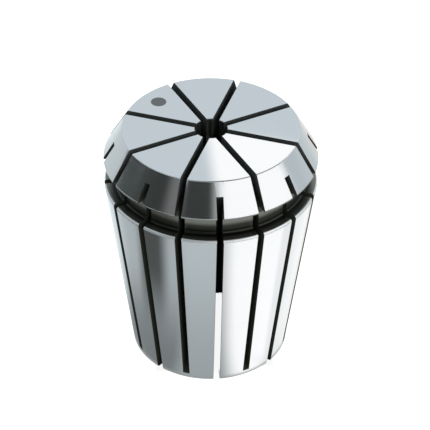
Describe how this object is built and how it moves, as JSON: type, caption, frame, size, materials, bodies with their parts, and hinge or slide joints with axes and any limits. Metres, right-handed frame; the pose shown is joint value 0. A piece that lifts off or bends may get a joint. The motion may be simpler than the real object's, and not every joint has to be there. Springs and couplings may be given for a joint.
{
  "type": "er collet",
  "caption": "Spring collet of the 32 mm ER size: steep nose cone, extraction groove and long taper, slit alternately from both ends around a small clamping bore.",
  "frame": {"origin": "centre of the small rear face, which the collet stands on", "axes": "+Z along the axis to the large front face; a rear slit faces +X, and a front slit lies 22.5 degrees round from it"},
  "size_m": [0.033, 0.033, 0.04],
  "materials": {
    "ground_steel": "finely ground and polished outside, blackened in the slits, the groove and the bores"
  },
  "bodies": {
    "root": {"collet": "ground_steel"}
  },
  "joints": []
}
